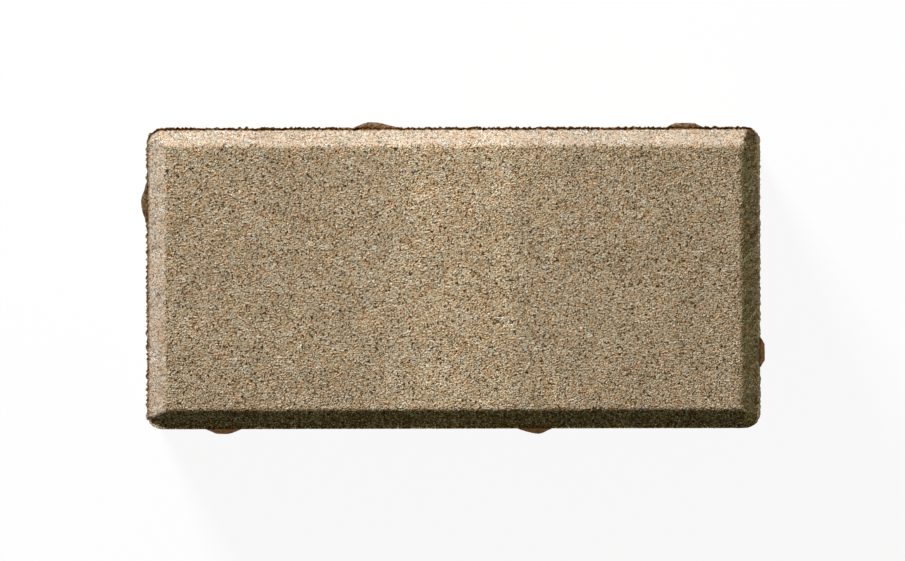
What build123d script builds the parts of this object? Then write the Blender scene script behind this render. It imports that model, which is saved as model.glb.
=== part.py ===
from build123d import *
import os

# Concrete block paver, pressed in a steel mould as one piece.
# Origin at the centre of the bed face, +X along the stone, +Y across it, +Z up.
# All sizes in millimetres.

# Laying grid: the pitch at which one stone follows the next, and the joint left between them
module_length = 200.0
module_width = 100.0
joint_gap = 3.0
thickness = 60.0

# Vertical corners of the moulded body
corner_radius = 5.2

# Bevelled top edge: a narrow lip left by the rim of the pressing plate, then the slope
lip_width = 0.8
bevel_width = 5.3
bevel_drop = 3.4
face_corner_radius = 0.6

# Spacer nibs on the walls: one to each stretch of nib_pitch, shifted clockwise from its middle
nib_pitch = 100.0
nib_shift = 24.0
nib_foot = 10.5
nib_crest = 4.6
nib_drop = 3.0
nib_end_slope = 2.6

# Sizes that follow from those above
body_length = module_length - joint_gap
body_width = module_width - joint_gap
lip_level = thickness - bevel_drop
face_inset = lip_width + bevel_width
nib_height = joint_gap / 2
nib_top = lip_level - nib_drop


def nib_planes():
    """Planes on the walls, one at the foot of each nib, going clockwise round the stone.

    Each faces outwards with its Y upwards, and its origin is on the wall at bed level.
    """
    sides = [
        (Vector(0, 1, 0), module_length, body_width),
        (Vector(1, 0, 0), module_width, body_length),
        (Vector(0, -1, 0), module_length, body_width),
        (Vector(-1, 0, 0), module_width, body_length),
    ]
    planes = []
    for outward, side_length, across in sides:
        clockwise = Vector(outward.Y, -outward.X, 0)
        stretches = max(1, round(side_length / nib_pitch))
        for i in range(stretches):
            middle = (i + 0.5) * side_length / stretches - side_length / 2
            foot = outward * (across / 2) + clockwise * (middle + nib_shift)
            planes.append(Plane(origin=foot, x_dir=-clockwise, z_dir=outward))
    return planes


with BuildPart() as paving_stone:
    # Body, up to the level of the lip
    with BuildSketch():
        RectangleRounded(body_length, body_width, corner_radius)
    extrude(amount=lip_level)

    # Bevel: flat along the sides, and part of a cone round each corner
    with BuildSketch(Plane.XY.offset(lip_level)):
        RectangleRounded(
            body_length - 2 * lip_width,
            body_width - 2 * lip_width,
            corner_radius - lip_width,
        )
    with BuildSketch(Plane.XY.offset(thickness)):
        RectangleRounded(
            body_length - 2 * face_inset,
            body_width - 2 * face_inset,
            face_corner_radius,
        )
    loft(ruled=True)

    # Nibs: a wide foot on the wall and a narrower crest, so the flanks and the upper end slope
    for wall in nib_planes():
        with BuildSketch(wall):
            with Locations((0, nib_top / 2)):
                Rectangle(nib_foot, nib_top)
        with BuildSketch(wall.offset(nib_height)):
            with Locations((0, (nib_top - nib_end_slope) / 2)):
                Rectangle(nib_crest, nib_top - nib_end_slope)
        loft(ruled=True)

paving_stone.part.label = "paving_stone"

os.makedirs("parts", exist_ok=True)
export_step(paving_stone.part, "parts/paving_stone.step")
litres = paving_stone.part.volume / 1e6
print(f"paving stone: {len(paving_stone.part.solids())} solid, {litres:.4f} litres")
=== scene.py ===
# %% [markdown]
# # A concrete paving stone
# This notebook dresses one block paver: a stone of damp, sandy concrete, pressed and shaken in a
# steel mould and left to harden. The measured solid comes first. It gives the stone's size and
# place, and everything that is made here stays on it.

# %% Load the measured stone
import math

import bpy
import numpy as np
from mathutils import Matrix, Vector


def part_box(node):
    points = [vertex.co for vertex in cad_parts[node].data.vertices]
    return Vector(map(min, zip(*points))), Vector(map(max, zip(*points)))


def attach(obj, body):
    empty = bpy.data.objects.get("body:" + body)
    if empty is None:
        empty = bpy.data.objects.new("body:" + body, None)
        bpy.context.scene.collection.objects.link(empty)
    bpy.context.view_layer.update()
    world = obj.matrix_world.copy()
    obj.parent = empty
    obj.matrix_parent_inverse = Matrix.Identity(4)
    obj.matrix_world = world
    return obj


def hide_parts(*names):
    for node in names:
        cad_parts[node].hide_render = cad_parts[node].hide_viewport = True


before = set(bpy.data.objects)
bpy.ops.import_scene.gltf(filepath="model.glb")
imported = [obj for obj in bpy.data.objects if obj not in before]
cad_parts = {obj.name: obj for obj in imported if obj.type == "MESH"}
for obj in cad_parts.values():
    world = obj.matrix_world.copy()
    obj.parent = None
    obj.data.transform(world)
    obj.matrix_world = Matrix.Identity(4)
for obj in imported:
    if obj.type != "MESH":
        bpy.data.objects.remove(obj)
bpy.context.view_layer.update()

MM = 0.001
STONE = "paving_stone"
box_low, box_high = (np.array(corner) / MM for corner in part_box(STONE))
module_length, module_width, thickness = box_high - box_low
print(f"laying module {module_length:.1f} x {module_width:.1f} mm, {thickness:.1f} mm thick")

# %% [markdown]
# ## The moulded form
# The mould gives straight walls with rounded corners. The pressing plate gives the bevel, and its
# rim leaves a narrow lip outside the bevel. Small nibs on the walls keep the joint open. These are
# the sizes of the measured solid, in millimetres, and the rest of the form follows from them.

# %% Sizes of the form
JOINT_GAP = 3.0
CORNER_RADIUS = 5.2
LIP_WIDTH = 0.8
BEVEL_WIDTH = 5.3
BEVEL_DROP = 3.4
NIB_PITCH = 100.0
NIB_SHIFT = 24.0
NIB_DROP = 3.0
NIB_END_SLOPE = 2.6

half_body = (np.array([module_length, module_width]) - JOINT_GAP) / 2
face_inset = LIP_WIDTH + BEVEL_WIDTH
half_face = half_body - face_inset
lip_level = thickness - BEVEL_DROP
nib_top = lip_level - NIB_DROP
print(f"body {2 * half_body[0]:.0f} x {2 * half_body[1]:.0f} mm, lip at {lip_level:.1f} mm")

# %% [markdown]
# ## Roughness from random numbers
# Concrete is rough at every size, from slow swells to single sand grains. A noise function gives
# such roughness. It has to be the same at each run, so the random numbers come from the integer
# coordinates of a lattice, mixed as bits, and nothing is drawn from a generator. Several noises of
# different sizes are then laid over one another.

# %% Noise
LATTICE_FACTORS = np.array([73856093, 19349663, 83492791])
SEED_FACTOR = 9781
MIXING_FACTORS = (0x45D9F3B, 0x119DE1F3)
LOW_BITS = 0xFFFFFFFF


def lattice_random(cell, seed):
    """One number from 0 to 1 for each integer cell: its coordinates times large numbers, mixed."""
    x, y, z = (cell * LATTICE_FACTORS).T
    mixed = (x ^ y ^ z ^ seed * SEED_FACTOR) & LOW_BITS
    for factor in MIXING_FACTORS:
        mixed = ((mixed >> 16) ^ mixed) * factor & LOW_BITS
    return ((mixed >> 16) ^ mixed).astype(float) / LOW_BITS


def noise(points, size, seed):
    """Smooth noise from -1 to 1: lattice numbers blended between eight corners by 3t^2 - 2t^3."""
    place = points / np.asarray(size, float)
    cell = np.floor(place).astype(np.int64)
    t = place - cell
    t = t * t * (3 - 2 * t)
    total = np.zeros(len(points))
    for corner in np.ndindex(2, 2, 2):
        share = np.prod(np.where(corner, t, 1 - t), axis=1)
        total += share * lattice_random(cell + np.array(corner), seed)
    return 2 * total - 1


def rough(points, *layers):
    """The sum of some noises. Each layer is (height, size of its features, seed)."""
    return sum(height * noise(points, size, seed) for height, size, seed in layers)


probe = np.stack([np.linspace(0, 50, 2000)] * 3, axis=1)
print(f"noise spans {noise(probe, 3.0, 1).min():.2f} to {noise(probe, 3.0, 1).max():.2f}")

# %% [markdown]
# Air that was caught in the mix leaves round holes. They could be cut out one by one, but a second
# use of the lattice is simpler: each of its cells holds one hollow or none, somewhere inside it.

# %% Hollows
SMALLEST_HOLLOW = 0.55
HOLLOW_SPREAD = 0.9


def hollows(points, spacing, radius, share, seed):
    """Round hollows, 1 at the middle and 0 outside: this share of the lattice cells has one, and
    a point takes the deepest of 1 - (distance / size)^2 over the 27 cells round it."""
    cell = np.floor(points / spacing).astype(np.int64)
    deepest = np.zeros(len(points))
    for step in np.ndindex(3, 3, 3):
        near = cell + np.array(step) - 1
        spot = np.stack([lattice_random(near, seed + k) for k in range(3)], axis=1)
        gap = np.linalg.norm(points - (near + spot) * spacing, axis=1)
        size = radius * (SMALLEST_HOLLOW + HOLLOW_SPREAD * lattice_random(near, seed + 3))
        depth = np.clip(1 - (gap / size) ** 2, 0, 1)
        deepest = np.maximum(deepest, depth * (lattice_random(near, seed + 4) < share))
    return deepest


print(f"{(hollows(probe, 3.0, 1.0, 0.5, 1) > 0).mean():.0%} of a line runs through hollows")

# %% [markdown]
# ## Rings round the stone
# The skin of the stone could be sculpted, or cut from a cube with modifiers. Here it is a grid on
# the face, then rings that go down the bevel and the walls, then a grid under the stone. A ring
# has as many points as the face has cells round its edge, so everything joins without a seam. The
# sides are numbered counter-clockwise, as seen from above.

# %% Ring shapes
BOTTOM, RIGHT, TOP, LEFT = range(4)
OUTWARDS = np.array([[0, -1], [1, 0], [0, 1], [-1, 0]])
ALONGS = np.stack([-OUTWARDS[:, 1], OUTWARDS[:, 0]], axis=1)
SIDE_AXES = (0, 1, 0, 1)
CELLS = np.array([308, 144])
EIGHTH_TURN = math.pi / 4
LEAST_POWER, POWER_SHARE, LEAST_EXTRA = 2.0, 0.45, 0.01


def ring(half, radius, inner_half, step=1):
    """Points and outward normals round a rectangle with arcs for corners, counter-clockwise.
    Each side runs from one corner's middle to the next, half an arc, a flat and half an arc.
    Points keep the spacing of the inner rectangle, and what the arcs add is taken up near
    the corners, by a power of the distance from the side's middle."""
    points, normals = [], []
    for outward, along, axis in zip(OUTWARDS, ALONGS, SIDE_AXES):
        t = np.linspace(-1, 1, round(CELLS[axis] / step) + 1)[:-1]
        flat = half[axis] - radius
        extra = flat + radius * EIGHTH_TURN - inner_half[axis]
        power = max(LEAST_POWER, POWER_SHARE * inner_half[axis] / max(extra, LEAST_EXTRA))
        s = t * inner_half[axis] + np.sign(t) * extra * np.abs(t) ** power
        turn = np.clip((np.abs(s) - flat) / max(radius, 1e-9), 0, EIGHTH_TURN)
        on_flat = np.abs(s) <= flat
        run = np.where(on_flat, s, np.sign(s) * (flat + radius * np.sin(turn)))
        out = half[1 - axis] - radius + radius * np.cos(turn)
        lean = np.where(on_flat, 0, np.sign(s) * np.sin(turn))
        points.append(run[:, None] * along + out[:, None] * outward)
        normals.append(lean[:, None] * along + np.cos(turn)[:, None] * outward)
    return np.concatenate(points), np.concatenate(normals)


def raised(plan, height):
    """Points of a plan as points in space, at one height or with a height for each."""
    return np.column_stack([plan, np.broadcast_to(height, len(plan))])


face_ring, _ = ring(half_face, 0.0, half_face)
body_ring, body_normal = ring(half_body, CORNER_RADIUS, half_face)
print(f"{len(body_ring)} points round the stone, {np.ptp(face_ring[:2, 0]):.2f} mm apart")

# %% [markdown]
# ## Lip and bevel
# Across the edge, the height depends only on how far a point is from the outline. The bevel is a
# straight slope with its two creases rounded, and the lip lies flat below it.

# %% Height of the edge
CREASE_WANDER = ((0.16, 0.9, 11), (0.12, 3.1, 12))
UPPER_CREASE, LOWER_CREASE = 0.3, 0.1


def inside_depth(points):
    """Distance inwards from the outline, a rectangle with arcs for corners."""
    q = np.abs(points[:, :2]) - (half_body - CORNER_RADIUS)
    beyond = np.linalg.norm(np.maximum(q, 0), axis=1)
    return CORNER_RADIUS - beyond - np.minimum(q.max(axis=1), 0)


def soft_min(a, b, width):
    """The lower of two values, with the corner between them rounded over this width."""
    h = np.clip(0.5 + (b - a) / (2 * width), 0, 1)
    return b + (a - b) * h - width * h * (1 - h)


def edge_height(points):
    """Height of the moulded top: lip, slope and face, with rounded creases, at the point's depth.
    Noise shifts that depth a little, which leaves both creases as uneven as sand."""
    depth = inside_depth(points) + rough(raised(points[:, :2], 0.0), *CREASE_WANDER)
    slope = lip_level + (depth - LIP_WIDTH) * BEVEL_DROP / BEVEL_WIDTH
    return -soft_min(-soft_min(slope, thickness, UPPER_CREASE), -lip_level, LOWER_CREASE)


crease = edge_height(np.column_stack([np.linspace(-50, 50, 200), np.full(200, half_face[1])]))
print(f"the bevel's upper crease runs from {crease.min():.2f} to {crease.max():.2f} mm")

# %% [markdown]
# ## Spacer nibs
# The nibs are wedges on the walls, with sloping top ends so that the mould can be drawn off. Mould
# plates wear unevenly, so each nib has its own height and its own widths of flank, crest and flank,
# read clockwise. They are listed from the bottom side on, counter-clockwise round the stone.

# %% Nibs
NIB_SHAPES = (
    (4.6, 1.0, 6.3), (4.8, 3.2, 3.6), (3.2, 4.5, 2.8),
    (4.6, 1.4, 8.4), (2.8, 6.1, 2.2), (6.4, 1.4, 5.9),
)
NIB_OFFSETS = (0.0, -0.2, 0.0, 1.3, 0.2, 0.3)
NIB_HEIGHTS = (1.70, 1.68, 1.68, 1.74, 1.28, 1.98)
NIB_FULLNESS = 1.05
NIB_WEAR = ((0.16, 1.3, 22), (0.14, 3.5, 23))
NIB_WANDER = (0.35, (2.6, 2.6, 9.0), 21)
FACES_A_SIDE = 0.9


def nib_out(points, normals):
    """How far the walls stand out at each point: six wedges, each the lowest of two flanks and a
    sloping top end. Where the wall turns away from a side, at the corners, there is none."""
    out = np.zeros(len(points))
    wander = rough(points, NIB_WANDER)
    ragged = NIB_FULLNESS + rough(points, *NIB_WEAR)
    nibs = zip(NIB_SHAPES, NIB_OFFSETS, NIB_HEIGHTS)
    for outward, clockwise, axis in zip(OUTWARDS, -ALONGS, SIDE_AXES):
        module = (module_length, module_width)[axis]
        stretches = max(1, round(module / NIB_PITCH))
        facing = normals @ outward > FACES_A_SIDE
        for i in range(stretches):
            (rise, crest, fall), offset, height = next(nibs)
            middle = (i + 0.5) * module / stretches - module / 2 + NIB_SHIFT + offset
            foot = rise + crest + fall
            u = points[:, :2] @ clockwise - middle + wander
            rising = (foot / 2 + u) / rise
            falling = (foot / 2 - u) / fall
            end = (nib_top + NIB_END_SLOPE - points[:, 2]) / NIB_END_SLOPE
            wedge = np.minimum(np.minimum(rising, falling), end)
            out += facing * height * np.clip(np.clip(wedge, 0, 1) * ragged, 0, 1)
    return out


waist = nib_out(raised(body_ring, thickness / 2), body_normal)
print(f"the nibs stand out by up to {waist.max():.2f} mm")

# %% [markdown]
# ## The skin of the stone
# The rows of the skin are laid out one after another, each with the direction in which its
# roughness pushes it. Rows of equal count are joined with quads. Where a row has twice or half as
# many points as the one before, three triangles join each pair of fine cells to a coarse one.

# %% Points and faces
FACE, WALL, BED = range(3)
UP, DOWN = [0, 0, 1], [0, 0, -1]
blocks, tri_blocks, quad_blocks = [], [], []


def add_points(xyz, push, zone):
    """Keeps a block of points with their push directions and zone, and returns their numbers."""
    start = sum(len(block[0]) for block in blocks)
    blocks.append((xyz, np.broadcast_to(push, xyz.shape), np.full(len(xyz), zone)))
    return np.arange(start, start + len(xyz))


def join_rings(upper, lower, zone):
    """Quads between two rings of equal count, the upper one nearer the middle of the face."""
    corners = (upper, lower, np.roll(lower, -1), np.roll(upper, -1))
    quad_blocks.append((np.stack(corners, 1), zone))


def change_ring(upper, lower, zone):
    """Three triangles for each coarse cell, between a ring and one with half its points."""
    fine, coarse = (upper, lower) if len(upper) > len(lower) else (lower, upper)
    a, b, c = fine[0::2], fine[1::2], np.roll(fine[0::2], -1)
    d, e = coarse, np.roll(coarse, -1)
    for corners in ((a, d, b), (b, d, e), (b, e, c)):
        ordered = corners if fine is upper else corners[::-1]
        tri_blocks.append((np.stack(ordered, 1), zone))


def connect(upper, lower, zone):
    """Joins a ring to the next in the way their counts call for, and returns the next."""
    join = join_rings if len(upper) == len(lower) else change_ring
    join(upper, lower, zone)
    return lower


def add_grid(half, cells, height_of, push, zone):
    """The points of a grid over a rectangle, at the heights that a function gives."""
    lines = [np.linspace(-half[axis], half[axis], cells[axis] + 1) for axis in (0, 1)]
    plan = np.stack(np.meshgrid(*lines, indexing="ij"), axis=-1).reshape(-1, 2)
    return add_points(raised(plan, height_of(plan)), push, zone).reshape(cells + 1)


def fill_grid(ids, zone):
    """Quads over a grid, counter-clockwise as seen from outside: the bed is seen from below."""
    a, b, c, d = ids[:-1, :-1], ids[1:, :-1], ids[1:, 1:], ids[:-1, 1:]
    corners = (a, d, c, b) if zone == BED else (a, b, c, d)
    quad_blocks.append((np.stack([corner.ravel() for corner in corners], 1), zone))


def grid_edge(ids):
    """The numbers round the edge of a grid, in the order of a ring."""
    return np.concatenate([ids[:-1, 0], ids[-1, :-1], ids[:0:-1, -1], ids[0, :0:-1]])


top_ids = add_grid(half_face, CELLS, edge_height, UP, FACE)
fill_grid(top_ids, FACE)
print(f"{top_ids.size} points on the face")

# %% [markdown]
# The bevel's rows go from the sharp corners of the face to the round corners of the outline, so
# each corner of the bevel becomes part of a cone. Its roughness pushes it square to its slope.

# %% Bevel
BEVEL_ROWS = 11
slope_angle = math.atan2(BEVEL_DROP, BEVEL_WIDTH)
bevel_push = raised(body_normal * math.sin(slope_angle), math.cos(slope_angle))
row = grid_edge(top_ids)
for depth in np.linspace(face_inset, LIP_WIDTH, BEVEL_ROWS + 1)[1:-1]:
    spot = body_ring + (face_ring - body_ring) * depth / face_inset
    row = connect(row, add_points(raised(spot, edge_height(spot)), bevel_push, FACE), FACE)
print(f"{len(row)} points in a ring, bevel at {math.degrees(slope_angle):.0f} degrees")

# %% [markdown]
# ## The ragged rim
# At the very edge, concrete that crept between the plate and the mould stands up as a ragged rim.
# It is built from a short profile of depth and height, with twice as many points round as the face.
# Each side was worn in its own way, so height, wear and shift are given for the bottom, right, top
# and left side. The rim is low where it was knocked off: over the nibs, at the upper left corner
# and at the right end.

# %% Rim
RIM_ROWS = ((0.80, 0.0), (0.50, 0.02), (0.34, 0.16), (0.22, 0.40), (0.10, 0.46), (0.0, 0.24))
RIM_HEIGHTS = (0.12, 0.48, 0.92, 0.50)
RIM_WEAR = (0.10, 0.40, 1.12, 0.95)
RIM_SHIFTS = (-0.10, 0.03, -0.16, 0.06)
RIM_CRUMBS = ((0.2, 2.6, 31), (0.8, 0.55, 32), (0.15, 11.0, 33))
RIM_FULLNESS, LEAST_CRUMB, LARGEST_CRUMB = 0.95, 0.15, 1.5
RIM_TEETH = ((0.45, 0.55, 34), (0.12, 1.7, 35))
RIM_PUSH = 0.7
OFF_OVER_NIBS, OFF_AT_UPPER_LEFT = 0.8, 0.6
RIGHT_END_LENGTH, LEFT_AT_RIGHT_END = 6.0, 0.25
CORNER_BLEND = 1.5


def edge_distances(points):
    """How far each point is from the bottom, right, top and left edge."""
    x, y = points[:, 0], points[:, 1]
    return np.stack([half_body[1] + y, half_body[0] - x, half_body[1] - y, half_body[0] + x], 1)


def side_shares(points):
    """How much each point belongs to the bottom, right, top and left side, blended at corners."""
    away = edge_distances(points)
    share = np.clip(CORNER_BLEND + away.min(axis=1, keepdims=True) - away, 0, None)
    return share / share.sum(axis=1, keepdims=True)


rim_ring, rim_normal = ring(half_body, CORNER_RADIUS, half_face, 0.5)
inner_ring, _ = ring(half_face, 0.0, half_face, 0.5)
rim_shares = side_shares(rim_ring)
free_edge = 1 - OFF_OVER_NIBS * np.clip(nib_out(raised(rim_ring, nib_top), rim_normal), 0, 1)
upper_left = 4 * rim_shares[:, TOP] * rim_shares[:, LEFT]
right_end = np.clip((half_body[0] - rim_ring[:, 0]) / RIGHT_END_LENGTH, LEFT_AT_RIGHT_END, 1)
tall = rim_shares @ RIM_HEIGHTS * free_edge * (1 - OFF_AT_UPPER_LEFT * upper_left) * right_end
rim_push = raised(rim_normal * RIM_PUSH, RIM_PUSH)
for depth, rise in RIM_ROWS:
    spot = raised(rim_ring + (inner_ring - rim_ring) * depth / face_inset, lip_level)
    crumbs = np.clip(RIM_FULLNESS + rough(spot, *RIM_CRUMBS), LEAST_CRUMB, LARGEST_CRUMB)
    spot[:, 2] += rise * tall * crumbs
    sideways = rim_shares @ RIM_SHIFTS + rim_shares @ RIM_WEAR * rough(spot, *RIM_TEETH)
    spot[:, :2] += rim_normal * (sideways * (1 - depth / face_inset) ** 4)[:, None]
    row = connect(row, add_points(spot, rim_push, FACE), FACE)
print(f"{len(row)} points round the rim, up to {tall.max():.2f} mm tall before wear")

# %% [markdown]
# ## Walls
# The walls have a few fine rows just below the rim, where they show, and coarse ones further down.

# %% Walls
FINE_WALL_ROWS = (0.25, 0.7, 1.2)
WALL_STEP = 1.5
WALL_FOOT = 0.5


def wall_row(level, step):
    """A ring on the wall at this level, with the nibs standing out of it."""
    spot, normal = ring(half_body, CORNER_RADIUS, half_face, step)
    xyz = raised(spot, level)
    xyz[:, :2] += normal * nib_out(xyz, normal)[:, None]
    return add_points(xyz, raised(normal, 0.0), WALL)


for fall in FINE_WALL_ROWS:
    row = connect(row, wall_row(lip_level - fall, 1), WALL)
coarse_top = lip_level - FINE_WALL_ROWS[-1] - WALL_STEP
coarse_levels = np.linspace(coarse_top, WALL_FOOT, round(lip_level / WALL_STEP))
for level in coarse_levels:
    row = connect(row, wall_row(level, 2), WALL)
step = coarse_levels[0] - coarse_levels[1]
print(f"{len(coarse_levels)} coarse rows on the walls, {step:.2f} mm apart")

# %% [markdown]
# ## Bed
# Under the stone the rings close in on a coarse grid. The bed face is hidden in use and has only to
# look like concrete that was pressed on a board.

# %% Bed
BED_RINGS = 3
FOOT_INSET = 0.5
half_bed = half_body - face_inset
foot_ring, foot_normal = ring(half_body - FOOT_INSET, CORNER_RADIUS - FOOT_INSET, half_face, 4)
foot = raised(foot_ring, 0.0)
foot[:, :2] += foot_normal * nib_out(foot, foot_normal)[:, None]
row = connect(row, add_points(foot, DOWN, BED), WALL)
bed_rectangle, _ = ring(half_bed, 0.0, half_face, 4)
for share in np.linspace(0, 1, BED_RINGS + 1)[1:-1]:
    spot = foot[:, :2] * (1 - share) + bed_rectangle * share
    row = connect(row, add_points(raised(spot, 0.0), DOWN, BED), BED)
bed_ids = add_grid(half_bed, CELLS // 4, lambda plan: 0.0, DOWN, BED)
connect(row, grid_edge(bed_ids), BED)
fill_grid(bed_ids, BED)

xyz, push, zone = (np.concatenate(parts) for parts in zip(*blocks))
print(f"{len(xyz)} points on the whole skin")

# %% [markdown]
# ## Relief
# The skin gets its roughness in layers: fine grain and slow swells everywhere, and upright lines
# where the mould was drawn off the walls. The zones fade into one another over the creases. The
# hollows are placed by swayed coordinates, so that they aren't perfectly round.

# %% Zones and layers of roughness
CREASE_BLEND = 1.2
BEVEL_START, BEVEL_BLEND = 0.5, 0.4
FINE = ((0.018, 0.7, 1), (0.012, 1.5, 2), (0.010, 3.4, 3))
SWELLS = ((0.08, 9.0, 4), (0.06, 22.0, 5))
DRAW_LINES = ((0.10, (1.3, 1.3, 16.0), 6), (0.09, (3.2, 3.2, 26.0), 7))
SWAYS = [(0.5, 0.8, 80 + axis) for axis in range(3)]


def fade(value, start, width):
    """0 up to the start, then a straight ramp of this width up to 1."""
    return np.clip((value - start) / width, 0, 1)


depth = inside_depth(xyz)
on_face = (zone == FACE) * fade(depth, face_inset - CREASE_BLEND / 2, CREASE_BLEND)
on_bevel = (zone == FACE) * (1 - on_face) * fade(depth, BEVEL_START, BEVEL_BLEND)
on_wall, on_bed = (zone == WALL).astype(float), (zone == BED).astype(float)
fine, swell, drawn = (rough(xyz, *layers) for layers in (FINE, SWELLS, DRAW_LINES))
swayed = xyz + np.stack([rough(xyz, sway) for sway in SWAYS], axis=1)
print(f"fine relief spans {np.ptp(fine):.3f} mm and the swells {np.ptp(swell):.2f} mm")

# %% [markdown]
# Now each point is pushed along the direction that was kept for it. The face is fine and sandy with
# small pores, the bevel is smoother because the plate slid over it, the walls are coarser, and the
# bed is open and pitted. The walls only go inwards from the outline, so that they don't show
# outside the rim, and the nibs stay smooth.

# %% Push the skin in and out
FACE_SUNK, WALL_SUNK, BED_SUNK = 0.04, 0.28, 0.25
FACE_PORE, BEVEL_PORE, WALL_PORE, BED_PORE = 0.30, 0.15, 0.75, 0.9
STANDS_OUT = 0.2
MOST_ABOVE_FACE = 0.15

face_pores = hollows(swayed, spacing=3.4, radius=0.50, share=0.14, seed=40)
face_relief = fine + swell - FACE_PORE * face_pores - FACE_SUNK
bevel_pores = hollows(swayed, spacing=3.4, radius=0.6, share=0.15, seed=50)
bevel_relief = 0.8 * fine + 0.6 * swell - BEVEL_PORE * bevel_pores

wall_pores = hollows(swayed, spacing=5.2, radius=1.7, share=0.40, seed=60)
wall_pores += 0.6 * hollows(swayed, spacing=11.0, radius=3.2, share=0.30, seed=65)
drawn_in = np.minimum(3.5 * fine + drawn + 1.8 * swell - WALL_SUNK, 0.0)
on_nib = depth < -STANDS_OUT
wall_relief = np.where(on_nib, 0.3 * drawn_in + 1.6 * fine, drawn_in - WALL_PORE * wall_pores)

bed_pores = hollows(swayed, spacing=6.0, radius=2.2, share=0.55, seed=70)
bed_relief = 4.0 * fine - BED_SUNK - BED_PORE * bed_pores

relief = (on_face * face_relief + on_bevel * bevel_relief
          + on_wall * wall_relief + on_bed * bed_relief)
surface = xyz + push * relief[:, None]
surface[:, 2] = np.clip(surface[:, 2], 0.0, thickness + MOST_ABOVE_FACE)
print(f"relief from {relief.min():.2f} to {relief.max():.2f} mm")

# %% [markdown]
# The points and faces go into one mesh. Each face remembers its zone as a material number: the
# face with its bevel and rim, the walls, or the bed.

# %% Make the mesh
faces = [np.concatenate([ids for ids, _ in kind]) for kind in (quad_blocks, tri_blocks)]
numbers = [np.full(len(ids), number) for ids, number in quad_blocks + tri_blocks]

mesh = bpy.data.meshes.new("stone_skin")
mesh.from_pydata((surface * MM).tolist(), [], [face for kind in faces for face in kind.tolist()])
mesh.polygons.foreach_set("material_index", np.concatenate(numbers).astype(np.int32))
mesh.polygons.foreach_set("use_smooth", np.ones(len(mesh.polygons), bool))
print(f"{2 * len(faces[0]) + len(faces[1])} triangles")

# %% [markdown]
# ## Marks for the finish
# The finish has to follow the shape, so the mesh carries marks, each one number per point. They
# say how deep it lies in a pore, how much it is on the bevel, on the right side or on the bottom
# side, and where the top ends of the nibs are. Brown dirt and painted shade lie on the ragged rim
# and a little way down the walls, in a band whose width and strength differ from side to side.

# %% Marks of the sides, the nibs and the rim
SHADE_AND_DIRT_WIDTHS = (0.7, 1.15, 1.12, 0.95)
SHADE_AND_DIRT_SHARES = (0.02, 0.95, 0.86, 0.44)
SHADE_AND_DIRT_WIDTH_NOISE, SHADE_AND_DIRT_SHARE_NOISE = (0.3, 1.2, 36), (0.5, 0.8, 37)
SHADE_AND_DIRT_FADE, SHADE_AND_DIRT_DOWN_WALL, SHADE_AND_DIRT_WALL_FADE = 0.25, 1.5, 1.0
LESS_SHADE_AND_DIRT_UPPER_RIGHT = 0.9
NIB_WALL_FADE, NIB_LIP_FADE, NIB_LIP_RISE = (0.05, 0.25), (-0.7, 0.2), 0.5
NIB_END_REACH, NIB_END_NOISE, NIB_END_FADE = 1.6, (1.4, 1.6, 38), 2.2

shares = side_shares(xyz)
bottom_side, right_side = ((1 - on_face) * shares[:, side] for side in (BOTTOM, RIGHT))
hollow = on_face * face_pores + on_wall * np.minimum(wall_pores, 1) + on_bed * bed_pores

over_nib = nib_out(raised(xyz[:, :2], nib_top), OUTWARDS[shares.argmax(axis=1)])
nib_lip = fade(over_nib, 0.0, NIB_LIP_RISE) * fade(-depth, *NIB_LIP_FADE)
nib = np.maximum(fade(-depth, *NIB_WALL_FADE) * on_wall, nib_lip)
nib *= fade(xyz[:, 2] + rough(xyz, NIB_END_NOISE), nib_top - NIB_END_REACH, NIB_END_FADE)

# Painted shade and brown dirt along the rim and a little way down the walls, with its own width and
# strength on each side.
shade_and_dirt_width = shares @ SHADE_AND_DIRT_WIDTHS * (1 + rough(xyz, SHADE_AND_DIRT_WIDTH_NOISE))
shade_and_dirt_share = shares @ SHADE_AND_DIRT_SHARES * (1 + rough(xyz, SHADE_AND_DIRT_SHARE_NOISE))
shade_and_dirt_share *= 1 - LESS_SHADE_AND_DIRT_UPPER_RIGHT * np.clip(5 * shares[:, RIGHT] * shares[:, TOP], 0, 1)
near_lip = fade(xyz[:, 2], lip_level - SHADE_AND_DIRT_DOWN_WALL, SHADE_AND_DIRT_WALL_FADE)
rim = np.minimum(fade(shade_and_dirt_width - depth, 0.0, SHADE_AND_DIRT_FADE) * near_lip * shade_and_dirt_share, 1.0)
print(f"dirt on {(rim > 0.5).sum()} points, nib ends on {(nib > 0.5).sum()}")

# %% [markdown]
# Painted shade darkens the bevel at the upper right and lower left corner, and painted light
# lightens it at the lower right one. Each of these marks ends along a straight line that leans away
# from the corner's diagonal, roughened by a noise. A line is given by its distance from one edge,
# where it meets the other edge, and by how much that distance grows with each millimetre inwards.

# %% Marks of the corners
UPPER_RIGHT_LINE, LOWER_LEFT_LINE, CORNER_LIGHT_LINE = (4.3, 0.3), (3.7, 0.45), (3.1, 0.49)
CORNER_SHADE_RAGGED, CORNER_LIGHT_RAGGED = (0.5, 1.2, 90), (0.3, 1.2, 91)
LINE_FADE = 0.6
CORNER_SHADE_TURN = math.radians(30)
CORNER_SHADE_DIAGONAL, CORNER_LIGHT_DIAGONAL = (1.0, 1.5), (2.0, 2.0)


def inside_line(line, inwards, distance, ragged):
    """1 where the distance is less than the line's start + growth x inwards + ragged."""
    start, growth = line
    return fade(start + growth * inwards + ragged, distance, LINE_FADE)


def past_diagonal(one, other, diagonal):
    """1 where a point is farther from one edge than from the other, with some reach and fade."""
    reach, width = diagonal
    return fade(one, other - reach, width)


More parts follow.
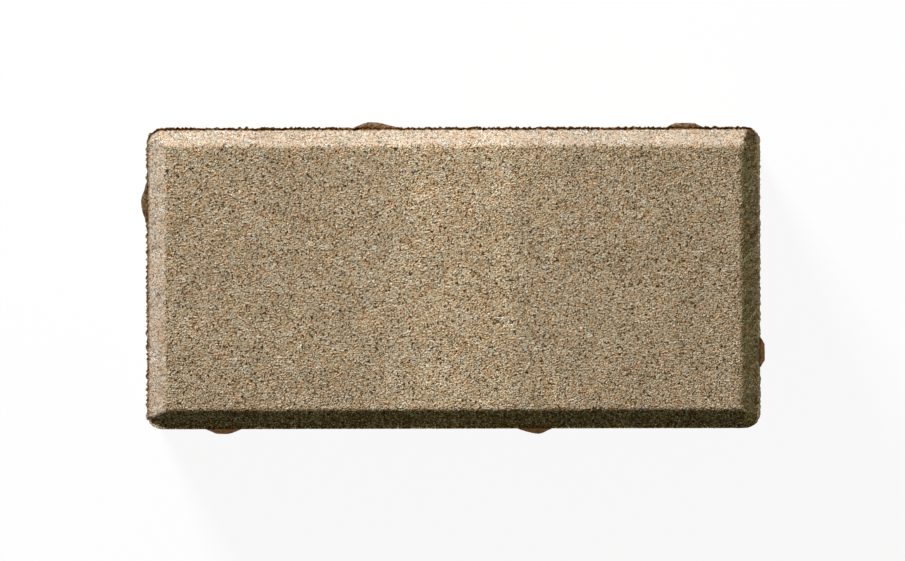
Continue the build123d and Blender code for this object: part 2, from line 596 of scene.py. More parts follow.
def painted_corner_shade(points):
    """Painted shade at two opposite corners. At the upper right it fades round the corner's arc,
    and at the lower left it ends at the corner's diagonal."""
    bottom, right, top, left = edge_distances(points).T
    ragged = rough(points, CORNER_SHADE_RAGGED)
    turned = np.arctan2(np.maximum(CORNER_RADIUS - top, 0), np.maximum(CORNER_RADIUS - right, 0))
    upper_right = inside_line(UPPER_RIGHT_LINE, top, right, ragged) * (top < face_inset)
    lower_left = inside_line(LOWER_LEFT_LINE, left, bottom, ragged) * (bottom < face_inset)
    lower_left *= past_diagonal(bottom, left, CORNER_SHADE_DIAGONAL) * (left < face_inset)
    return upper_right * fade(turned, 0.0, CORNER_SHADE_TURN) + lower_left


def painted_corner_light(points):
    """A patch of painted light at the lower right, nearer to the long edge than the corner's
    diagonal.
    """
    bottom, right, _, _ = edge_distances(points).T
    along = inside_line(CORNER_LIGHT_LINE, bottom, right, rough(points, CORNER_LIGHT_RAGGED))
    return along * past_diagonal(right, bottom, CORNER_LIGHT_DIAGONAL) * (bottom < face_inset)


# Painted shade on the bevel at the upper right and lower left corner.
corner_shade = painted_corner_shade(xyz) * (on_bevel + on_wall > 0)
# Painted light on the bevel at the lower right corner.
corner_light = painted_corner_light(xyz) * (1 - on_face)
print(f"{(corner_shade > 0.5).sum()} shade_darkened points, {(corner_light > 0.5).sum()} pale ones")

# %% [markdown]
# The tone changes along the stone as well: a stripe over the middle dried paler and the ends dried
# darker, half as much so on the bevel. The narrow lip along the bottom side gets painted light, and
# so does the lower right corner of the bevel. Each fade is given by its start and its width in
# millimetres.

# %% Marks of the tone
PLAIN_TONE, STRIPE, LEFT_END, RIGHT_END = 0.97, 0.15, 0.05, 0.06
STRIPE_RISE, STRIPE_FALL = (-24.0, 14.0), (-21.0, 3.0)
LEFT_END_FADE, RIGHT_END_FADE = (30.0, 50.0), (30.0, 40.0)
CORNER_LIGHT_AMOUNT, LIP_PAINTED_LIGHT = 0.6, 0.55
LIP_START_FADE, LIP_INWARD_FADE = 9.0, (-1.4, 0.9)


def dried_tone(x):
    """Paleness along the stone: a stripe over the middle, and a fall towards either end."""
    stripe = fade(x, *STRIPE_RISE) * fade(-x, *STRIPE_FALL)
    left, right = fade(-x, *LEFT_END_FADE), fade(x, *RIGHT_END_FADE)
    return PLAIN_TONE + STRIPE * stripe - LEFT_END * left - RIGHT_END * right


lip_painted_light = fade(xyz[:, 0], -half_body[0], LIP_START_FADE) * shares[:, BOTTOM] * (zone == FACE)
lip_painted_light *= fade(-depth, *LIP_INWARD_FADE)
tone = 1 + (dried_tone(xyz[:, 0]) - 1) * np.where(on_bevel > 0.5, 0.5, 1.0)
# Painted light: the lower right corner of the bevel and the lip along the bottom side are made
# paler.
tone += CORNER_LIGHT_AMOUNT * corner_light + LIP_PAINTED_LIGHT * lip_painted_light

marks = {"hollow": hollow.clip(0, 1), "bevel": on_bevel, "rim": rim, "nib": nib,
         "right side": right_side, "bottom side": bottom_side, "corner_shade": corner_shade, "tone": tone}
for name, values in marks.items():
    attribute = mesh.attributes.new(name, "FLOAT", "POINT")
    attribute.data.foreach_set("value", values.astype(np.float32))
mesh.update()
stone = bpy.data.objects.new("stone_surface", mesh)
bpy.context.collection.objects.link(stone)
print(f"tone from {tone.min():.2f} to {tone.max():.2f}, mesh valid: {not mesh.validate()}")

# %% [markdown]
# ## Node helpers
# The finish is made of shader nodes. A few helpers keep the code short. One adds a node and sets
# or links its inputs, and the others are the sums and colour blends that come again and again.


# %% Helpers for nodes
def add(tree, kind, inputs=None, **settings):
    """A new node of this kind. An input is given by name or number, as a value or as a socket."""
    made = tree.nodes.new("ShaderNode" + kind)
    for name, value in settings.items():
        setattr(made, name, value)
    for key, value in (inputs or {}).items():
        if isinstance(value, bpy.types.NodeSocket):
            tree.links.new(value, made.inputs[key])
        else:
            made.inputs[key].default_value = value
    return made


def calculate(tree, operation, a, b=0.0, c=0.0, clamp=False):
    """The result of one Math node."""
    return add(tree, "Math", {0: a, 1: b, 2: c}, operation=operation, use_clamp=clamp).outputs[0]


def times(tree, a, b, clamp=False):
    """The product of two values."""
    return calculate(tree, "MULTIPLY", a, b, clamp=clamp)


def plus(tree, start, value, amount=1.0, clamp=False):
    """A start value with this amount of another value added to it."""
    return calculate(tree, "MULTIPLY_ADD", value, amount, start, clamp)


def blend(tree, share, a, b, kind="MIX"):
    """Colour a goes over to colour b by this share."""
    return add(tree, "Mix", {0: share, 6: a, 7: b}, data_type="RGBA", blend_type=kind).outputs[2]


def tint(tree, colour, by, share=None):
    """A colour multiplied by another, all over or only by a share that changes over the stone."""
    tinted = blend(tree, 1.0, colour, by, "MULTIPLY")
    return tinted if share is None else blend(tree, share, colour, tinted)


def grey(tree, value):
    """A value as a colour."""
    return add(tree, "CombineColor", {0: value, 1: value, 2: value}).outputs[0]


def pick(tree, value, stops):
    """One of some colours, each from its position up to the next. Stops are (position, colour)."""
    made = add(tree, "ValToRGB", {0: value})
    made.color_ramp.interpolation = "CONSTANT"
    elements = made.color_ramp.elements
    while len(elements) < len(stops):
        elements.new(1.0)
    for element, (position, colour) in zip(elements, stops):
        element.position = position
        element.color = (*colour, 1)
    return made.outputs[0]


print("node helpers ready")

# %% [markdown]
# ## Node groups
# What several materials use becomes a node group, with named inputs and outputs. It is built once
# and placed in each material with its own values.


# %% Helpers for node groups
def start_group(name, inputs, outputs):
    """A shader node group with these sockets. Returns it with its inner inputs and outputs."""
    tree = bpy.data.node_groups.new(name, "ShaderNodeTree")
    sockets = [("INPUT", *given) for given in inputs] + [("OUTPUT", *given) for given in outputs]
    for way, label, kind, *default in sockets:
        socket = tree.interface.new_socket(name=label, in_out=way, socket_type="NodeSocket" + kind)
        if default:
            socket.default_value = default[0]
    return tree, tree.nodes.new("NodeGroupInput").outputs, tree.nodes.new("NodeGroupOutput").inputs


def use_group(tree, group, inputs):
    """The outputs of a group placed in this tree with its own values."""
    return add(tree, "Group", inputs, node_tree=group).outputs


def stir(tree, vector, scale, detail, reach):
    """Coordinates stirred by a noise, up to half of this reach to either side."""
    wave = add(tree, "TexNoise", {"Vector": vector, "Scale": scale, "Detail": detail})
    centred = add(tree, "VectorMath", {0: wave.outputs["Color"], 1: (0.5, 0.5, 0.5)},
                  operation="SUBTRACT")
    moved_by = add(tree, "VectorMath", {0: centred.outputs[0], 3: reach}, operation="SCALE")
    return add(tree, "VectorMath", {0: vector, 1: moved_by.outputs[0]}, operation="ADD").outputs[0]


print("group helpers ready")

# %% [markdown]
# ## Sand grains
# Up close the stone is sand held by cement. A Voronoi texture makes cells of random size, and each
# cell is one grain. One random number of the cell makes it lighter or darker, a second gives a few
# grains another kind of stone, and a third lifts it. The grain is a small dome for the bump, and
# the paste in the gaps between grains is darker. Dark grains and gaps are browner than pale ones,
# so blue falls faster than red. The coordinates are stirred first, because real grains are not
# straight-sided.

# %% Group: sand grains
GRAIN_KINDS = (
    (0.00, (1.00, 1.00, 1.00)), (0.30, (1.03, 0.99, 0.97)), (0.60, (0.98, 1.00, 1.02)),
    (0.86, (1.09, 0.97, 0.89)), (0.94, (0.94, 1.00, 1.06)), (0.985, (1.18, 1.20, 1.18)),
)
GRAIN_STIR = 0.8
GAP_START, GAP_RISE = -0.75, 2.2
DARKEST_GRAIN = 0.05
RED_POWER, BLUE_POWER = 0.74, 1.42
DOME_TOP, LOWEST_GRAIN, GRAIN_LIFT = 0.7, 0.3, 0.9

grains, inside, outside = start_group(
    "Sand grains",
    [("Vector", "Vector"), ("Spacing", "Float", 0.0008), ("Cement", "Color", (0.35, 0.28, 0.19, 1)),
     ("Contrast", "Float", 0.4), ("Gaps", "Float", 0.4)],
    [("Color", "Color"), ("Height", "Float")],
)
density = calculate(grains, "DIVIDE", 1.0, inside["Spacing"])
stirred = stir(grains, inside["Vector"], density, 1.0, times(grains, inside["Spacing"], GRAIN_STIR))
cells = add(grains, "TexVoronoi", {"Vector": stirred, "Scale": density}).outputs
shade_number, kind_number, lift_number = add(grains, "SeparateColor", {0: cells["Color"]}).outputs
shade = plus(grains, 1.0, plus(grains, -1.0, shade_number, 2.0), inside["Contrast"])
gap = plus(grains, GAP_START, cells["Distance"], GAP_RISE, clamp=True)
hold = plus(grains, 1.0, times(grains, gap, inside["Gaps"]), -1.0)
level = calculate(grains, "MAXIMUM", times(grains, shade, hold), DARKEST_GRAIN)
red, blue = (calculate(grains, "POWER", level, power) for power in (RED_POWER, BLUE_POWER))
browned = add(grains, "CombineColor", {0: red, 1: level, 2: blue}).outputs[0]
kinds = pick(grains, kind_number, GRAIN_KINDS)
grains.links.new(tint(grains, tint(grains, inside["Cement"], kinds), browned), outside["Color"])
dome = plus(grains, DOME_TOP, times(grains, cells["Distance"], cells["Distance"]), -1.0)
lift = plus(grains, LOWEST_GRAIN, lift_number, GRAIN_LIFT)
grains.links.new(times(grains, dome, lift), outside["Height"])
print("group", grains.name, "with", len(grains.nodes), "nodes")

# %% [markdown]
# ## Pits
# Between the grains there are holes too small for the mesh. They have no regular outline, so they
# are the places where a noise passes a limit: a higher limit leaves fewer and smaller pits. They
# get painted shade in the colour and sink the bump.

# %% Group: pits
pits, inside, outside = start_group(
    "Pits",
    [("Vector", "Vector"), ("Size", "Float", 0.001), ("Limit", "Float", 0.6),
     ("Sharpness", "Float", 9.0)],
    [("Mask", "Float")],
)
density = calculate(pits, "DIVIDE", 1.0, inside["Size"])
field = add(pits, "TexNoise", {"Vector": inside["Vector"], "Scale": density, "Detail": 2.0,
                               "Roughness": 0.55, "Distortion": 0.5})
above = calculate(pits, "SUBTRACT", field.outputs["Fac"], inside["Limit"])
pits.links.new(times(pits, above, inside["Sharpness"], clamp=True), outside["Mask"])
print("group", pits.name, "with", len(pits.nodes), "nodes")

# %% [markdown]
# ## Pebbles
# A few grains are much larger than the sand. They are Voronoi cells again, but only the middle of
# some cells counts. The edge is warped by a noise, and a random number of the cell picks grey,
# brown, cream or nearly white stone.

# %% Group: pebbles
PEBBLE_KINDS = (
    (0.00, (0.19, 0.20, 0.19)), (0.12, (0.32, 0.28, 0.22)), (0.26, (0.38, 0.26, 0.15)),
    (0.50, (0.55, 0.50, 0.41)), (0.80, (0.70, 0.67, 0.60)),
)
PEBBLE_STIR, PEBBLE_BENDS = 0.4, 3.0
SMALLEST_PEBBLE, PEBBLE_EDGE = 0.4, 14.0

pebbles, inside, outside = start_group(
    "Pebbles",
    [("Vector", "Vector"), ("Spacing", "Float", 0.003), ("Radius", "Float", 0.2),
     ("Share", "Float", 0.3)],
    [("Mask", "Float"), ("Color", "Color")],
)
density = calculate(pebbles, "DIVIDE", 1.0, inside["Spacing"])
stirred = stir(pebbles, inside["Vector"], times(pebbles, density, PEBBLE_BENDS), 2.0,
               times(pebbles, inside["Spacing"], PEBBLE_STIR))
cells = add(pebbles, "TexVoronoi", {"Vector": stirred, "Scale": density}).outputs
keep_number, size_number, kind_number = add(pebbles, "SeparateColor", {0: cells["Color"]}).outputs
larger = calculate(pebbles, "ADD", size_number, SMALLEST_PEBBLE)
size = times(pebbles, inside["Radius"], larger)
within = times(pebbles, calculate(pebbles, "SUBTRACT", size, cells["Distance"]), PEBBLE_EDGE,
               clamp=True)
kept = calculate(pebbles, "LESS_THAN", keep_number, inside["Share"])
pebbles.links.new(times(pebbles, within, kept), outside["Mask"])
pebbles.links.new(pick(pebbles, kind_number, PEBBLE_KINDS), outside["Color"])
print("group", pebbles.name, "with", len(pebbles.nodes), "nodes")

# %% [markdown]
# ## Patches of tone
# Concrete dries unevenly, so its tone drifts over the stone. A noise with large features makes the
# drift, and its result runs between two colours that multiply the cement's colour. Small patches
# of the same kind make rust and dirt, and the mottled painted light and shade on the rim and nibs.

# %% Group: patches of tone
PATCH_START, PATCH_RISE = -0.75, 2.5

patches, inside, outside = start_group(
    "Patches of tone",
    [("Vector", "Vector"), ("Size", "Float", 0.03), ("Low", "Color", (0.9, 0.9, 0.9, 1)),
     ("High", "Color", (1.1, 1.1, 1.1, 1))],
    [("Color", "Color")],
)
density = calculate(patches, "DIVIDE", 1.0, inside["Size"])
field = add(patches, "TexNoise", {"Vector": inside["Vector"], "Scale": density, "Detail": 3.0,
                                  "Roughness": 0.6})
share = plus(patches, PATCH_START, field.outputs["Fac"], PATCH_RISE, clamp=True)
patches.links.new(blend(patches, share, inside["Low"], inside["High"]), outside["Color"])
print("group", patches.name, "with", len(patches.nodes), "nodes")

# %% [markdown]
# ## The materials
# The face, the walls and the bed are the same concrete, worked in different ways. Each material
# places the groups with its own values. The shader is a plain Principled BSDF, rough and not
# metallic. Its gloss is turned almost off, because dry, dusty concrete has no sheen even where a
# low lamp grazes it.

# %% Helpers for concrete
SHINE = 0.05


def start_material(name):
    """An empty node material, its tree and the object coordinates."""
    material = bpy.data.materials.new(name)
    material.use_nodes = True
    tree = material.node_tree
    tree.nodes.clear()
    return material, tree, add(tree, "TexCoord").outputs["Object"]


def mark(tree, name):
    """One of the marks that the mesh carries."""
    return add(tree, "Attribute", attribute_name=name).outputs["Fac"]


def patchy(tree, place, size, low, high):
    """A colour that drifts between two others, in patches of this size in metres."""
    inputs = {"Vector": place, "Size": size, "Low": low, "High": high}
    return use_group(tree, patches, inputs)["Color"]


def pitted(tree, place, *sizes):
    """Where there are pits, of some sizes. Each is (size in metres, limit, sharpness)."""
    masks = [use_group(tree, pits, {"Vector": place, "Size": size, "Limit": limit,
                                    "Sharpness": sharpness})["Mask"]
             for size, limit, sharpness in sizes]
    return calculate(tree, "MAXIMUM", *masks)


def sandy(tree, place, colour, *sizes):
    """Sizes of sand, one over the other on a cement colour, each (spacing in metres, contrast,
    depth of the gaps). Returns the colour and the heights."""
    heights = []
    for spacing, contrast, gaps in sizes:
        grain = use_group(tree, grains, {"Vector": place, "Spacing": spacing, "Cement": colour,
                                         "Contrast": contrast, "Gaps": gaps})
        colour = grain["Color"]
        heights.append(grain["Height"])
    return colour, heights


def finish_material(tree, colour, height, roughness):
    """Puts the colour and the bump, in millimetres of height, on a rough surface."""
    bump = add(tree, "Bump", {"Height": height, "Distance": MM, "Strength": 1.0})
    shader = add(tree, "BsdfPrincipled", {"Base Color": colour, "Roughness": roughness,
                                          "Specular IOR Level": SHINE, "Normal": bump.outputs[0]})
    add(tree, "OutputMaterial", {"Surface": shader.outputs[0]})


print(f"gloss {SHINE}, bump in steps of {MM} m")

# %% [markdown]
# ### The face and its bevel: cement
# The cement's colour comes first. It drifts in large patches, is mottled in small ones, and
# follows the tone that the mesh carries, which also holds painted light. The bevel is a little
# greyer than the face, and its right and bottom sides, which lie in the shade, get a painted shade
# colour that is greener.

# %% Face: cement
FACE_CEMENT = (0.642, 0.541, 0.382, 1)
BEVEL_TINT = (0.86, 0.895, 1.02, 1)
RIGHT_SHADE_TINT = (1.11, 1.10, 0.82, 1)
BOTTOM_SHADE_TINT = (1.12, 1.13, 0.94, 1)
DRIFT = (0.03, (0.93, 0.92, 0.91, 1), (1.07, 1.08, 1.09, 1))
MOTTLE = (0.007, (0.91, 0.91, 0.91, 1), (1.09, 1.09, 1.09, 1))
HUES = (0.0035, (1.04, 0.97, 0.89, 1), (0.98, 1.03, 1.06, 1))

face_material, tree, place = start_material("face_concrete")
bevel_here = mark(tree, "bevel")
right_here, bottom_here = mark(tree, "right side"), mark(tree, "bottom side")
cement = tint(tree, FACE_CEMENT, patchy(tree, place, *DRIFT))
cement = tint(tree, cement, patchy(tree, place, *MOTTLE))
cement = tint(tree, cement, grey(tree, mark(tree, "tone")))
cement = tint(tree, cement, BEVEL_TINT, bevel_here)
# Painted shade: the right and bottom sides of the bevel, which lie in the shade, get a greener,
# less blue colour.
cement = tint(tree, cement, RIGHT_SHADE_TINT, right_here)
cement = tint(tree, cement, BOTTOM_SHADE_TINT, bottom_here)
cement = tint(tree, cement, patchy(tree, place, *HUES))
print("cement colour", FACE_CEMENT[:3])

# %% [markdown]
# ### The face and its bevel: sand
# Three sizes of sand lie on the cement. The finest is the most uneven, and a slow noise makes it
# sandier in some places than in others. Painted shade on the shaded sides and at the two darkened
# corners makes the grains stand out more, and the bevel is smoother. Between the crumbs of sand the
# crevices get painted shade: they are darker and browner.

# %% Face: sand
COARSE_SAND, MIDDLE_SAND, FINE_SAND = 0.0012, 0.00054, 0.00034
RIGHT_PAINTED_SHADE, CORNER_PAINTED_SHADE = 0.25, 0.7
GRIT_PATCH, GRIT_START, GRIT_RISE = 0.004, -1.0, 3.0
COARSE_CONTRAST, COARSE_GAPS = 0.02, 0.0
MIDDLE_CONTRAST, MIDDLE_CONTRAST_BY_SHADE = 0.08, 0.50
MIDDLE_GAPS, MIDDLE_GAPS_BY_SHADE = 0.15, 0.60
FINE_CONTRAST, FINE_BY_GRIT, FINE_BY_BEVEL, FINE_BY_SHADE = 0.30, 0.44, -0.12, 0.40
FINE_GAPS = 0.30
CRUMB, CREVICE_START, CREVICE_FALL, CREVICE_BY_BEVEL = 0.00055, 2.15, -4.5, -0.65
CREVICE_SHADE_BROWN = (0.68, 0.53, 0.36, 1)

corner_shade_here = mark(tree, "corner_shade")
# Painted shade: the shaded right and bottom sides and the two darkened corners get stronger
# contrast and darker gaps between the grains.
painted_shade = plus(tree, bottom_here, right_here, RIGHT_PAINTED_SHADE)
painted_shade = plus(tree, painted_shade, corner_shade_here, CORNER_PAINTED_SHADE, clamp=True)
grit = add(tree, "TexNoise", {"Vector": place, "Scale": 1 / GRIT_PATCH, "Detail": 1.0})
grit = plus(tree, GRIT_START, grit.outputs["Fac"], GRIT_RISE, clamp=True)
middle_contrast = plus(tree, MIDDLE_CONTRAST, painted_shade, MIDDLE_CONTRAST_BY_SHADE)
middle_gaps = plus(tree, MIDDLE_GAPS, painted_shade, MIDDLE_GAPS_BY_SHADE)
fine_contrast = plus(tree, FINE_CONTRAST, grit, FINE_BY_GRIT)
fine_contrast = plus(tree, fine_contrast, bevel_here, FINE_BY_BEVEL)
fine_contrast = plus(tree, fine_contrast, painted_shade, FINE_BY_SHADE)
colour, heights = sandy(tree, place, cement, (COARSE_SAND, COARSE_CONTRAST, COARSE_GAPS),
                        (MIDDLE_SAND, middle_contrast, middle_gaps),
                        (FINE_SAND, fine_contrast, FINE_GAPS))
crumbs = add(tree, "TexNoise", {"Vector": place, "Scale": 1 / CRUMB, "Detail": 1.0})
crumbs = crumbs.outputs["Fac"]
# Painted shade: the low places between the crumbs are darkened and browned.
crevice_shade = plus(tree, CREVICE_START, crumbs, CREVICE_FALL, clamp=True)
crevice_shade = times(tree, crevice_shade, plus(tree, 1.0, bevel_here, CREVICE_BY_BEVEL))
colour = tint(tree, colour, CREVICE_SHADE_BROWN, crevice_shade)
print(f"sand {COARSE_SAND / MM}, {MIDDLE_SAND / MM} and {FINE_SAND / MM} mm apart")

# %% [markdown]
# ### The face and its bevel: pebbles and pits
# A few pebbles are set over the sand, and pits go through everything. The pits and the pores of
# the mesh get the same dark brown as painted shade.

# %% Face: pebbles and pits
PEBBLES = {"Spacing": 0.0032, "Radius": 0.23, "Share": 0.26}
FACE_PITS = ((0.00062, 0.603, 40.0), (0.0012, 0.642, 40.0))
PIT_SHADE_BROWN = (0.060, 0.022, 0.003, 1)
PEBBLE_SHOWS, PITS_BY_BEVEL = 0.85, -0.35
PIT_DARK, HOLLOW_DARK = 0.95, 0.9

stones = use_group(tree, pebbles, {"Vector": place, **PEBBLES})
colour = blend(tree, times(tree, stones["Mask"], PEBBLE_SHOWS), colour, stones["Color"])
holes = pitted(tree, place, *FACE_PITS)
holes = times(tree, holes, plus(tree, 1.0, bevel_here, PITS_BY_BEVEL))
# Painted shade: the pits and the pores of the mesh are darkened to a dark brown.
dark = plus(tree, times(tree, holes, PIT_DARK), mark(tree, "hollow"), HOLLOW_DARK, clamp=True)
colour = blend(tree, dark, colour, PIT_SHADE_BROWN)
print(f"pits of {len(FACE_PITS)} sizes, pebbles {PEBBLES['Spacing'] / MM} mm apart")

# %% [markdown]
# ### The face and its bevel: painted shade, dirt and bump
# Painted shade and dirt come last, over all the rest: painted shade at two corners, rust-brown
# dirt and painted shade along the ragged rim, olive on the shaded right side, and dark lips over
# the nibs. The bump adds the heights of the grains, the crumbs and the pebbles, less that of the
# holes, and is weaker on the bevel.

# %% Face: painted shade, dirt and bump
CORNER_SHADE_TINT = (0.155, 0.16, 0.13, 1)
RIM_OLIVE_SHADE = (0.22, 0.165, 0.095, 1)
RIM_RUST_AND_SHADE = (0.0009, (0.075, 0.036, 0.014, 1), (0.42, 0.205, 0.078, 1))
NIB_LIP_TINT = (0.42, 0.31, 0.21, 1)
COARSE_LIFT, MIDDLE_LIFT, CRUMB_LIFT, PEBBLE_LIFT, PIT_LIFT = 0.09, 0.06, 0.34, 0.05, -0.34
BUMP_BY_BEVEL = -0.60
FACE_ROUGHNESS = 0.9


def rim_dirt_and_shade(tree, place, colour, right_here):
    """Rust-brown patches and painted shade over a colour along the rim, olive painted shade on the
    right side.
    """
    dirt_and_shade = blend(tree, right_here, patchy(tree, place, *RIM_RUST_AND_SHADE), RIM_OLIVE_SHADE)
    return blend(tree, mark(tree, "rim"), colour, dirt_and_shade)


# Painted shade at the upper right and lower left corner of the bevel.
colour = tint(tree, colour, CORNER_SHADE_TINT, corner_shade_here)
# Rust-brown dirt and painted shade along the rim.
colour = rim_dirt_and_shade(tree, place, colour, right_here)
colour = tint(tree, colour, NIB_LIP_TINT, mark(tree, "nib"))
bump_height = times(tree, crumbs, CRUMB_LIFT)
for lifted, amount in ((heights[0], COARSE_LIFT), (heights[1], MIDDLE_LIFT), (holes, PIT_LIFT),
                       (stones["Mask"], PEBBLE_LIFT)):
    bump_height = plus(tree, bump_height, lifted, amount)
bump_height = times(tree, bump_height, plus(tree, 1.0, bevel_here, BUMP_BY_BEVEL))
finish_material(tree, colour, bump_height, FACE_ROUGHNESS)
print(face_material.name, "with", len(tree.nodes), "nodes")

# %% [markdown]
# ### The walls and the bed
# The walls were drawn along the steel mould, and the bed lay on a board. Both are browner and
# darker than the face, with coarser grains and more pits. The rim's dirt and painted shade run on
# over the top of the walls. The top ends of the nibs carry painted shade on the lit sides, a mottle
# of dark and pale that darkens them, and painted light on the right and bottom side, a bright
# orange-brown where they lie in shade.

# %% Walls and bed
WALL_CEMENT = (0.36, 0.28, 0.19, 1)
BED_CEMENT = (0.34, 0.27, 0.185, 1)
WALL_DRIFT = (0.016, (0.80, 0.78, 0.76, 1), (1.20, 1.21, 1.22, 1))
BED_DRIFT = (0.016, (0.84, 0.83, 0.82, 1), (1.16, 1.16, 1.16, 1))
COARSE_GRAINS = ((0.0011, 0.34, 0.45), (0.0005, 0.40, 0.40))
LIT_NIB_PAINTED_SHADE = (0.0006, (0.07, 0.055, 0.04, 1), (0.72, 0.68, 0.62, 1))
SHADED_NIB_PAINTED_LIGHT = (0.0012, (0.50, 0.15, 0.03, 1), (0.98, 0.62, 0.33, 1))
SMALL_PIT, LARGE_PIT, LARGE_PIT_LIMIT = 0.0012, 0.0032, 0.03
SMALL_PIT_EDGE, LARGE_PIT_EDGE = 12.0, 14.0
WALL_PIT_DARK, WALL_HOLLOW_DARK = 0.75, 0.6
FINE_GRAIN_LIFT, WALL_PIT_LIFT = 0.5, -1.6
WALL_ROUGHNESS = 0.93


def coarse_concrete(name, cement, drift, grain_height, pit_limit):
    """The finish of the walls and the bed: patches, two sizes of sand, two sizes of pit."""
    material, tree, place = start_material(name)
    right_here, bottom_here = mark(tree, "right side"), mark(tree, "bottom side")
    colour, heights = sandy(tree, place, tint(tree, cement, patchy(tree, place, *drift)),
                            *COARSE_GRAINS)
    holes = pitted(tree, place, (SMALL_PIT, pit_limit, SMALL_PIT_EDGE),
                   (LARGE_PIT, pit_limit + LARGE_PIT_LIMIT, LARGE_PIT_EDGE))
    # Painted shade: the pits and the pores of the mesh are darkened to a dark brown.
    dark = plus(tree, times(tree, holes, WALL_PIT_DARK), mark(tree, "hollow"), WALL_HOLLOW_DARK,
                clamp=True)
    colour = blend(tree, dark, colour, PIT_SHADE_BROWN)
    # Rust-brown dirt and painted shade along the rim and the top of the walls.
    colour = rim_dirt_and_shade(tree, place, colour, right_here)
    # Painted shade on the nib ends of the lit sides, painted light in orange-brown on those of the
    # right and bottom side.
    nib_painted_shade = tint(tree, colour, patchy(tree, place, *LIT_NIB_PAINTED_SHADE))
    shaded_here = calculate(tree, "ADD", right_here, bottom_here, clamp=True)
    nib_painted_light_and_shade = blend(tree, shaded_here, nib_painted_shade, patchy(tree, place, *SHADED_NIB_PAINTED_LIGHT))
    colour = blend(tree, mark(tree, "nib"), colour, nib_painted_light_and_shade)
    bump_height = times(tree, heights[1], FINE_GRAIN_LIFT * grain_height)
    bump_height = plus(tree, bump_height, heights[0], grain_height)
    bump_height = plus(tree, bump_height, holes, WALL_PIT_LIFT * grain_height)
    finish_material(tree, colour, bump_height, WALL_ROUGHNESS)
    return material


wall_material = coarse_concrete("wall_concrete", WALL_CEMENT, WALL_DRIFT, 0.20, 0.60)
bed_material = coarse_concrete("bed_concrete", BED_CEMENT, BED_DRIFT, 0.22, 0.58)
for material in (face_material, wall_material, bed_material):
    mesh.materials.append(material)
print("materials", [m.name for m in mesh.materials])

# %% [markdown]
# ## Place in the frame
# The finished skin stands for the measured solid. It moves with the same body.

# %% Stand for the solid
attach(stone, "root")
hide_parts(STONE)
print(stone.name, "stands for", STONE)

# %% [markdown]
# ## Light and camera
# The stone lies on a plain white floor. The floor's own light makes it white to the camera, and a
# small share of plain paper keeps the stone's shadow. To all other rays it is a pale grey paper.

# %% Floor
FLOOR_HALF = 4.0
WHITE_SHARE = 0.93
PAPER = (0.8, 0.8, 0.8, 1)
WHITE = (1.0, 1.0, 1.0, 1)

floor_mesh = bpy.data.meshes.new("floor")
floor_corners = np.array([(-1, -1, 0), (1, -1, 0), (1, 1, 0), (-1, 1, 0)]) * FLOOR_HALF
floor_mesh.from_pydata(floor_corners.tolist(), [], [(0, 1, 2, 3)])
floor = bpy.data.objects.new("floor", floor_mesh)
bpy.context.collection.objects.link(floor)
floor_material = bpy.data.materials.new("floor_paper")
floor_material.use_nodes = True
tree = floor_material.node_tree
tree.nodes.clear()
paper, bright_paper = (add(tree, "BsdfDiffuse", {"Color": c}).outputs[0] for c in (PAPER, WHITE))
white = add(tree, "Emission", {"Color": WHITE, "Strength": 1.0}).outputs[0]
seen = add(tree, "MixShader", {0: WHITE_SHARE, 1: bright_paper, 2: white}).outputs[0]
rays = add(tree, "LightPath").outputs
direct = calculate(tree, "MAXIMUM", rays["Is Camera Ray"], rays["Is Glossy Ray"])
direct = calculate(tree, "MAXIMUM", direct, rays["Is Transmission Ray"])
choice = add(tree, "MixShader", {0: direct, 1: paper, 2: seen})
add(tree, "OutputMaterial", {"Surface": choice.outputs[0]})
floor_mesh.materials.append(floor_material)
print(f"floor {2 * FLOOR_HALF:.0f} m wide, {WHITE_SHARE:.0%} white")

# %% [markdown]
# The stone was lit by one low lamp from the upper left, with very little light from elsewhere.
# That is what shows the sandy grain. The little light that comes from all round is a warm one.

# %% Lamp and sky
LAMP_AZIMUTH = math.radians(117.0)
LAMP_ELEVATION = math.radians(21.3)
LAMP_DISTANCE = 2.0
LAMP_SIDE = 0.50
LAMP_POWER = 80.8
LAMP_COLOUR = (0.99, 1.0, 1.05)
FILL_COLOUR = (0.99, 1.0, 0.60, 1)
FILL_STRENGTH = 0.083

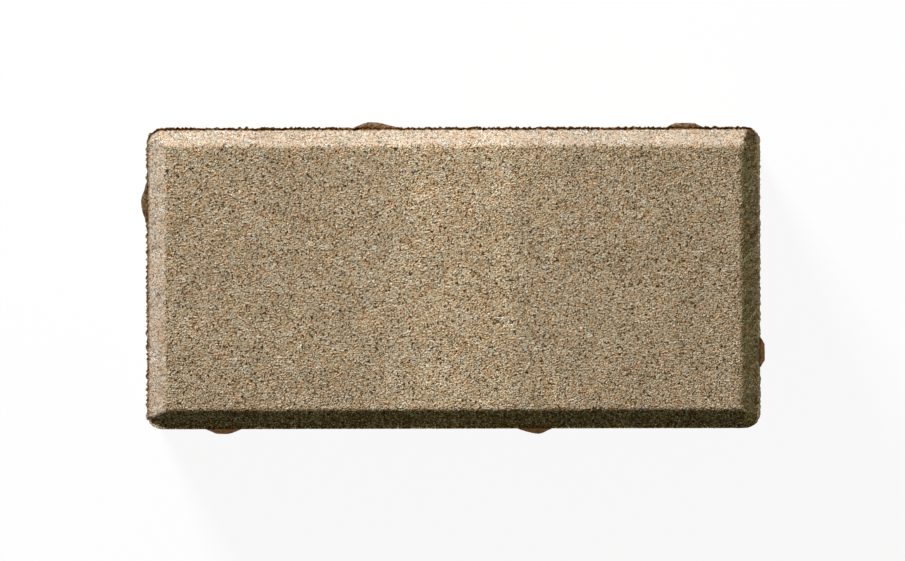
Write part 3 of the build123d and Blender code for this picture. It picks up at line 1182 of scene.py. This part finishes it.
lamp_data = bpy.data.lights.new("low_lamp", "AREA")
lamp_data.size = LAMP_SIDE
lamp_data.energy = LAMP_POWER
lamp_data.color = LAMP_COLOUR
lamp = bpy.data.objects.new("low_lamp", lamp_data)
bpy.context.collection.objects.link(lamp)
level_share = math.cos(LAMP_ELEVATION)
towards = np.array([math.cos(LAMP_AZIMUTH) * level_share, math.sin(LAMP_AZIMUTH) * level_share,
                    math.sin(LAMP_ELEVATION)])
lamp.location = towards * LAMP_DISTANCE + np.array([0, 0, thickness * MM])
lamp.rotation_mode = "QUATERNION"
lamp.rotation_quaternion = Vector(towards).to_track_quat("Z", "Y")

world = bpy.data.worlds.new("sky")
bpy.context.scene.world = world
world.use_nodes = True
tree = world.node_tree
tree.nodes.clear()
rays = add(tree, "LightPath").outputs
fill = add(tree, "Background", {"Color": FILL_COLOUR, "Strength": FILL_STRENGTH})
clear = add(tree, "Background", {"Color": WHITE, "Strength": 1.0})
choice = add(tree, "MixShader", {0: rays["Is Camera Ray"], 1: fill.outputs[0], 2: clear.outputs[0]})
add(tree, "OutputWorld", {"Surface": choice.outputs[0]})
print(f"lamp of {LAMP_POWER} W at {math.degrees(LAMP_ELEVATION):.1f} degrees above the floor")

# %% [markdown]
# The camera looks straight down through a long lens, which keeps the walls out of sight. Its
# distance follows from how many pixels of the picture a millimetre of the stone takes up.

# %% Camera
IMAGE_WIDTH = 905
IMAGE_CENTRE_PX = np.array([452.5, 280.5])
STONE_CENTRE_PX = np.array([453.40, 277.90])
STONE_PIXELS_PER_MM = 3.120
LENS = 300.0
SENSOR_WIDTH = 36.0
FARTHEST_SEEN = 50.0
CAMERA_ROLL = -0.13

camera_data = bpy.data.cameras.new("camera")
camera_data.lens = LENS
camera_data.sensor_width = SENSOR_WIDTH
camera_data.clip_end = FARTHEST_SEEN
camera = bpy.data.objects.new("camera", camera_data)
bpy.context.collection.objects.link(camera)
distance = IMAGE_WIDTH / STONE_PIXELS_PER_MM * MM * LENS / SENSOR_WIDTH
off = (IMAGE_CENTRE_PX - STONE_CENTRE_PX) / STONE_PIXELS_PER_MM * MM
camera.location = (off[0], -off[1], thickness * MM + distance)
camera.rotation_euler = (0, 0, math.radians(CAMERA_ROLL))
bpy.context.scene.camera = camera
bpy.context.scene.view_settings.view_transform = "Standard"
print(f"camera {distance:.2f} m above the face")
